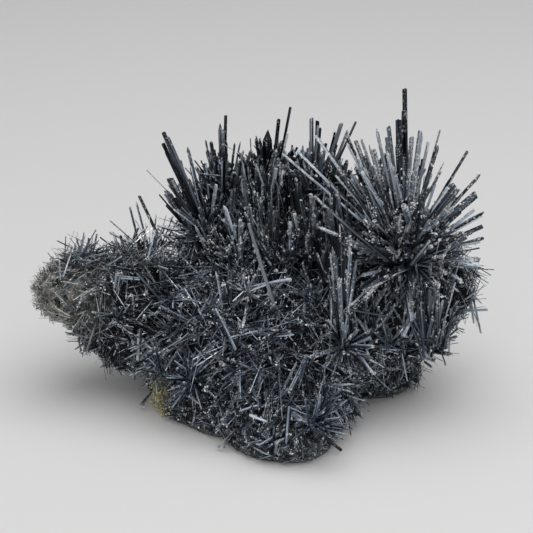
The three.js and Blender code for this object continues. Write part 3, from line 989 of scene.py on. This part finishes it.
def tufts(rng, where, roots, per, length, width, spread, lift, height, tones, upward=0):
    # Bundles of needles that share a root, in millimetres and degrees. A bundle has a heading along the
    # surface. Its needles turn from the heading by up to the spread and rise from the surface by the
    # lift, and upward pulls them towards +Z. height is how far above the core the roots are, and tones
    # are the darkest and the lightest tone.
    form = tuftForm
    place, normal = seeds(rng, roots, where)
    short = shortness(place, normal)
    axes = unit(normal + rng.normal(0, form["waver"], (roots, 3)))
    u, v = sideways(axes, rng)
    owner = np.repeat(np.arange(roots), per)
    total = len(owner)
    turn = np.radians(rng.uniform(-spread, spread, total))[:, None]
    rise = (np.radians(rng.uniform(*lift, total)) * short[owner])[:, None]
    ways = (u[owner] * np.cos(turn) + v[owner] * np.sin(turn)) * np.cos(rise) + axes[owner] * np.sin(rise)
    ways = unit(ways + np.array((0, 0, upward)))
    size = (rng.uniform(*form["size"], roots) * (form["leastSize"] + (1 - form["leastSize"]) * short))[owner]
    above = normal[owner] * (rng.uniform(*height, roots) * short)[owner][:, None] * mm
    feet = place[owner] + above + rng.normal(0, form["apart"], (total, 3))
    reach = rng.uniform(*length, total) * size * mm
    thick = skewed(rng, width, total, form["thinness"]) * mm
    shared = form["sharedTone"]
    share = shared * rng.uniform(0, 1, roots)[owner] + (1 - shared) * rng.uniform(0, 1, total)
    return feet, feet + ways * reach[:, None], thick, tones[0] + (tones[1] - tones[0]) * share


# The regions of the mass. Each takes places in millimetres and normals, and says which places are in it.
armEdge = -38
rightEdge = 30
ridgeEdge = 8


def arm(p, n):
    return p[:, 0] < armEdge


def front(p, n):
    return (p[:, 0] >= armEdge) & (p[:, 0] < rightEdge) & (p[:, 1] < ridgeEdge)


def top(p, n):
    return (p[:, 0] >= armEdge) & (p[:, 0] < rightEdge) & (p[:, 1] >= ridgeEdge) & (p[:, 2] > 40)


def ridge(p, n):
    return top(p, n) & (p[:, 0] > -18)


def right(p, n):
    return (p[:, 0] >= rightEdge) & (p[:, 1] < 12)


def rightFace(p, n):
    return right(p, n) & (n[:, 1] < -0.2) & (p[:, 2] > 22) & (p[:, 0] < 60)


def rear(p, n):
    return ~(arm(p, n) | front(p, n) | top(p, n) | right(p, n))


def armBody(p, n):
    return arm(p, n) & (p[:, 0] > -66)


def armEnd(p, n):
    return p[:, 0] < -52


def openFront(p, n):
    return front(p, n) & (n[:, 2] > 0.2) & (p[:, 2] > 16)


def openArm(p, n):
    return arm(p, n) & (p[:, 0] > -58) & (n[:, 2] > 0)


def rim(p, n):
    return (p[:, 2] < 26) & (n[:, 2] < 0.6)


# Each layer: where, how many roots and needles at each, then length, width, spread, lift, height and
# tones, and upward if it is wanted. A needle with an end below the beds' floor is left out.
bedFloor = 1.2 * mm
felt = ((2, 6), (0.13, 0.34), 180, (-5, 50), (-0.5, 1), (0, 1))
blade = ((5, 14), (0.2, 0.62), 15, (-5, 36), (0.3, 3.6), (0, 1))
long = ((8, 19), (0.25, 0.7), 0, (0, 28), (1.5, 4), (0.3, 1))
star = ((4, 10), (0.2, 0.55), 180, (8, 60), (0, 2), (0.1, 1))
beds = {
    "armFelt": {
        "finish": "fur", "grow": growSpindles,
        "layers": [
            (arm, 800, 6, *felt),
            (armEnd, 900, 6, (1, 3.4), (0.18, 0.42), 180, (5, 70), (0, 1.2), (0, 1)),
        ],
    },
    "slopePrisms": {
        "finish": "crusted", "slot": "prism", "grow": growShortPrisms,
        "layers": [
            (front, 130, 2, (6, 14), (0.5, 1.1), 12, (0, 40), (1.8, 4.8), (0, 1)),
            (front, 120, 2, (9, 18), (0.7, 1.3), 10, (0, 30), (3, 6), (0, 1)),
            (armBody, 80, 2, (6, 12), (0.45, 0.9), 12, (0, 24), (1.2, 3), (0, 1)),
            (right, 60, 2, (7, 14), (0.55, 1.15), 12, (0, 38), (1.8, 4.5), (0, 1)),
            (rear, 130, 2, (7, 14), (0.55, 1.15), 12, (0, 38), (1.8, 4.5), (0, 1)),
        ],
    },
    "slopeFelt": {"finish": "felt", "grow": growSpindles, "layers": [(front, 900, 6, *felt)]},
    "topFelt": {"finish": "felt", "grow": growSpindles, "layers": [(top, 360, 6, *felt)]},
    "rightFelt": {"finish": "felt", "grow": growSpindles, "layers": [(right, 750, 6, *felt)]},
    "rearFelt": {"finish": "felt", "grow": growSpindles, "layers": [(rear, 950, 6, *felt)]},
    "rimFelt": {
        "finish": "fur", "grow": growSpindles,
        "layers": [(rim, 2150, 6, (2, 5.5), (0.25, 0.65), 180, (0, 55), (-0.3, 0.8), (0.1, 1))],
    },
    "armBlades": {
        "finish": "fur", "grow": growBlades,
        "layers": [
            (armBody, 420, 5, (3, 9), (0.2, 0.6), 20, (0, 32), (0.3, 2.4), (0, 1)),
            (armEnd, 120, 4, (2, 5), (0.2, 0.5), 60, (0, 30), (0.3, 1.5), (0, 1)),
            (openArm, 150, 1, (7, 15), (0.25, 0.65), 0, (0, 22), (1.2, 3), (0.3, 1)),
        ],
    },
    "slopeBlades": {
        "finish": "fine", "grow": growBlades,
        "layers": [
            (front, 600, 5, *blade),
            (front, 90, 10, *star),
            (openFront, 420, 1, *long),
        ],
    },
    "topBlades": {
        "finish": "fine", "grow": growBlades,
        "layers": [
            (top, 380, 5, (5, 14), (0.3, 0.9), 30, (10, 70), (0, 1.5), (0.1, 1), 0.6),
            (ridge, 120, 1, (10, 22), (0.4, 1), 0, (0, 40), (2, 9), (0.3, 1)),
        ],
    },
    "rightBlades": {
        "finish": "fine", "grow": growBlades,
        "layers": [
            (right, 440, 5, *blade),
            (right, 55, 10, *star),
            (rightFace, 150, 2, (10, 22), (0.6, 1.5), 15, (0, 15), (0.8, 3), (0.3, 1), 1.6),
        ],
    },
    "rearBlades": {
        "finish": "fine", "grow": growBlades,
        "layers": [(rear, 540, 5, *blade), (rear, 110, 10, *star)],
    },
}
for seed, (name, bed) in enumerate(beds.items(), start=100):
    rng = np.random.default_rng(seed)
    layers = [tufts(rng, *layer) for layer in bed["layers"]]
    feet, tips, widths, tones = (np.concatenate(side) for side in zip(*layers, strict=True))
    bare = distances(feet / mm, stains["sulphur"]["at"]) < stains["sulphur"]["bare"]
    keep = (tips[:, 2] > bedFloor) & (feet[:, 2] > bedFloor) & ~bare
    feet, tips, widths, tones = feet[keep], tips[keep], widths[keep], tones[keep]
    piece = bed["grow"](name, feet, tips, widths, tones, seed)
    dress(piece, bed["finish"], bed.get("slot", "felted_needles"))
    if bed["grow"] is not growSpindles:
        crusted.append((feet, tips, widths, np.full(len(feet), crustLiking["bed"])))
    print(name, len(feet), "needles")


# The forest of upright prisms on the ridge and the shoulders before it, in millimetres. It stands in
# clumps of nearly parallel prisms, and each clump leans its own way, and away from the forest's middle.
# The crown is a height that no prism passes by much, and it rises to the right.
forest = {
    "clumps": 96, "perClump": 7, "strays": 200, "x": (-24, 46), "y": (2, 38), "floor": 42,
    "middle": (9, 20), "lean": 0.01, "clumpLean": 0.2, "prismLean": 0.06, "strayLean": 0.55,
    "apart": (1.5, 1.5, 0.6), "length": (12, 33), "lengthShare": (0.65, 1.1), "least": 5,
    "width": (0.5, 2.4), "thinness": 1.8, "flat": (0.5, 0.95),
    "crown": 80, "rightCrown": 0.12, "crownShare": (0.75, 1.05),
}


def onForest(p, n):
    (x0, x1), (y0, y1) = forest["x"], forest["y"]
    inside = (p[:, 0] > x0) & (p[:, 0] < x1) & (p[:, 1] > y0) & (p[:, 1] < y1)
    return inside & (p[:, 2] > forest["floor"]) & (n[:, 2] > 0.05)


def growForest():
    form = forest
    rng = np.random.default_rng(200)
    place, _ = seeds(rng, form["clumps"] + form["strays"], onForest)
    per = np.where(np.arange(len(place)) < form["clumps"], form["perClump"], 1)
    stray = np.where(per == 1, form["strayLean"], form["clumpLean"])[:, None]
    heading = np.column_stack([(place[:, :2] / mm - form["middle"]) * form["lean"], np.ones(len(place))])
    heading = heading + rng.normal(0, 1, heading.shape) * stray
    owner = np.repeat(np.arange(len(place)), per)
    count = len(owner)
    ways = unit(heading[owner] + rng.normal(0, form["prismLean"], (count, 3)))
    feet = place[owner] / mm + rng.normal(0, 1, (count, 3)) * form["apart"] - ways
    reach = rng.uniform(*form["length"], len(place))[owner] * rng.uniform(*form["lengthShare"], count)
    crown = form["crown"] + form["rightCrown"] * np.maximum(feet[:, 0], 0)
    room = (crown - feet[:, 2]) * rng.uniform(*form["crownShare"], count)
    reach = np.minimum(reach, np.maximum(room, form["least"]))
    widths = skewed(rng, form["width"], count, form["thinness"])
    flats = rng.uniform(*form["flat"], count)
    tips = feet + ways * reach[:, None]
    feet, tips, widths, flats, points = bundled(feet, tips, widths, flats, np.zeros(count), rng)
    feet, tips, widths = feet * mm, tips * mm, widths * mm
    crusted.append((feet, tips, widths, np.full(len(feet), crustLiking["forest"])))
    return growPrisms("ridgeForest", feet, tips, widths, flats, points, 201, sides=6)


dress(growForest(), "black", "prism")
print("ridge forest")


crustForm = {
    "knobs": 6000, "perKnob": 4, "knob": 0.3 * mm, "size": (0.14, 0.46), "smallness": 2,
    "heavyShare": 0.3, "heavy": 6, "light": 0.6,  # its liking for a heavily crusted prism and for the rest
    "highest": 0.97, "span": 0.75, "towardsTip": 1.8,  # places along the prism
    "out": 0.3,  # from the prism's middle line, over its width
    "floor": 0.5 * mm,
}


def grains(name, centres, size, rng):
    # Six-sided grains, two three-cornered pyramids base to base, whose corners are pushed in and out at
    # random by the knobs.
    shape = np.array([(1, 0, 0), (-0.5, 0.87, 0), (-0.5, -0.87, 0), (0, 0, 1), (0, 0, -1)])
    faces = np.array([(0, 1, 3), (1, 2, 3), (2, 0, 3), (1, 0, 4), (2, 1, 4), (0, 2, 4)])
    count = len(centres)
    u, v = sideways(unit(rng.normal(0, 1, (count, 3))), rng)
    turned = np.stack([u, v, np.cross(u, v)], axis=1)
    knobs = rng.uniform(0.6, 1.3, (count, len(shape), 1))
    points = centres[:, None] + (shape[None] * knobs) @ turned * size[:, None, None]
    offset = (np.arange(count) * len(shape))[:, None, None]
    piece = meshPiece(name, points.reshape(-1, 3), np.empty((0, 4), int), (faces + offset).reshape(-1, 3))
    addNumber(piece, "tone", np.repeat(rng.uniform(0, 1, count), len(shape)))
    return piece


def makeCrust():
    # Knobs of grains on the prisms and blades. A share of them is heavily crusted, and the knobs sit
    # mostly near the tips.
    form = crustForm
    rng = np.random.default_rng(7)
    feet, tips, widths, liking = (np.concatenate(side) for side in zip(*crusted, strict=True))
    reach = np.linalg.norm(tips - feet, axis=1)
    heavy = np.where(rng.uniform(0, 1, len(feet)) < form["heavyShare"], form["heavy"], form["light"])
    share = reach * widths * liking * heavy
    owner = rng.choice(len(feet), form["knobs"], p=share / share.sum())
    along = form["highest"] * (1 - form["span"] * rng.uniform(0, 1, len(owner)) ** form["towardsTip"])
    across, _ = sideways(unit(tips - feet)[owner], rng)
    aside = across * (widths[owner] * form["out"])[:, None]
    knobs = feet[owner] + (tips - feet)[owner] * along[:, None] + aside
    centres = np.repeat(knobs, form["perKnob"], axis=0)
    centres = centres + rng.normal(0, form["knob"], centres.shape)
    centres = centres[centres[:, 2] > form["floor"]]
    size = skewed(rng, form["size"], len(centres), form["smallness"])
    return grains("paleCrust", centres, size * mm, rng)


sulphurForm = {"tried": 1500, "depth": 2.2 * mm, "lowest": 0.6 * mm, "size": (0.12, 0.4)}


def makeSulphur():
    # Yellow grains scattered over the stained foot, thickest at the stain's centre.
    form = sulphurForm
    rng = np.random.default_rng(8)
    stain = stains["sulphur"]

    def onFoot(p, n):
        return distances(p, stain["at"]) < stain["radius"]

    place, normal = seeds(rng, form["tried"], onFoot)
    gap = distances(place / mm, stain["at"]) / stain["radius"]
    keep = rng.uniform(0, 1, len(gap)) > gap
    centres = place[keep] + normal[keep] * rng.uniform(0, form["depth"], keep.sum())[:, None]
    centres[:, 2] = np.maximum(centres[:, 2], form["lowest"])
    return grains("sulphurGrains", centres, rng.uniform(*form["size"], keep.sum()) * mm, rng)


dress(makeCrust(), "crust", "pale_prism")
dress(makeSulphur(), "sulphur", "sulphur_stain")
print("crust and stain")


studio = {"front": -1.6, "bend": 0.9, "radius": 0.5, "height": 1.4, "halfWidth": 2.2, "steps": 24}


def makeSweep():
    # A floor that turns up into a backdrop through a quarter circle, as one strip carried along X.
    turn = np.linspace(0, math.pi / 2, studio["steps"])
    y = np.concatenate([[studio["front"]], studio["bend"] + studio["radius"] * np.sin(turn)])
    z = np.concatenate([[0], studio["radius"] * (1 - np.cos(turn))])
    y = np.append(y, y[-1])
    z = np.append(z, studio["height"])
    x = np.array([-studio["halfWidth"], studio["halfWidth"]])
    points = np.stack(np.broadcast_arrays(x[None, :], y[:, None], z[:, None]), axis=-1).reshape(-1, 3)
    k = np.arange(len(y) - 1) * 2
    quads = np.stack([k, k + 1, k + 3, k + 2], 1)
    sweep = meshPiece("sweep", points, quads, np.empty((0, 3), int), smooth=True)
    paper = Finish("palePaper").finish(Base_Color=(0.64, 0.637, 0.633, 1), Roughness=0.9)
    sweep.data.materials.append(paper)


def addSoftbox(name, place, target, size, power):
    lamp = bpy.data.lights.new(name, "AREA")
    lamp.shape = "DISK"
    lamp.size = size
    lamp.energy = power
    box = bpy.data.objects.new(name, lamp)
    box.location = place
    box.rotation_euler = (Vector(target) - Vector(place)).to_track_quat("-Z", "Y").to_euler()
    bpy.context.collection.objects.link(box)


# Each lamp's place, target, size and watts.
softboxes = {
    "overheadSoftbox": ((0.12, -0.08, 0.85), (0, 0, 0), 1.2, 6.5),
    "frontSoftbox": ((-0.1, -1.1, 0.7), (0, 0, 0.03), 1.1, 3.2),
}
room = {"Color": (0.98, 0.985, 1, 1), "Strength": 0.45}
makeSweep()
for name, lamp in softboxes.items():
    addSoftbox(name, *lamp)
world = bpy.data.worlds.new("room")
world.use_nodes = True
for key, value in room.items():
    world.node_tree.nodes["Background"].inputs[key].default_value = value
bpy.context.scene.world = world
bpy.context.scene.view_settings.view_transform = "Standard"

shot = {"target": (2.8 * mm, 0, 50 * mm), "elevation": 22, "distance": 0.7, "across": 177.7 * mm}
lens = bpy.data.cameras.new("camera")
lens.sensor_width = 36
lens.lens = lens.sensor_width * shot["distance"] / shot["across"]
camera = bpy.data.objects.new("camera", lens)
tilt = math.radians(shot["elevation"])
away = Vector((0, -math.cos(tilt), math.sin(tilt))) * shot["distance"]
camera.location = Vector(shot["target"]) + away
camera.rotation_euler = (math.pi / 2 - tilt, 0, 0)
bpy.context.collection.objects.link(camera)
bpy.context.scene.camera = camera

print("studio and camera")
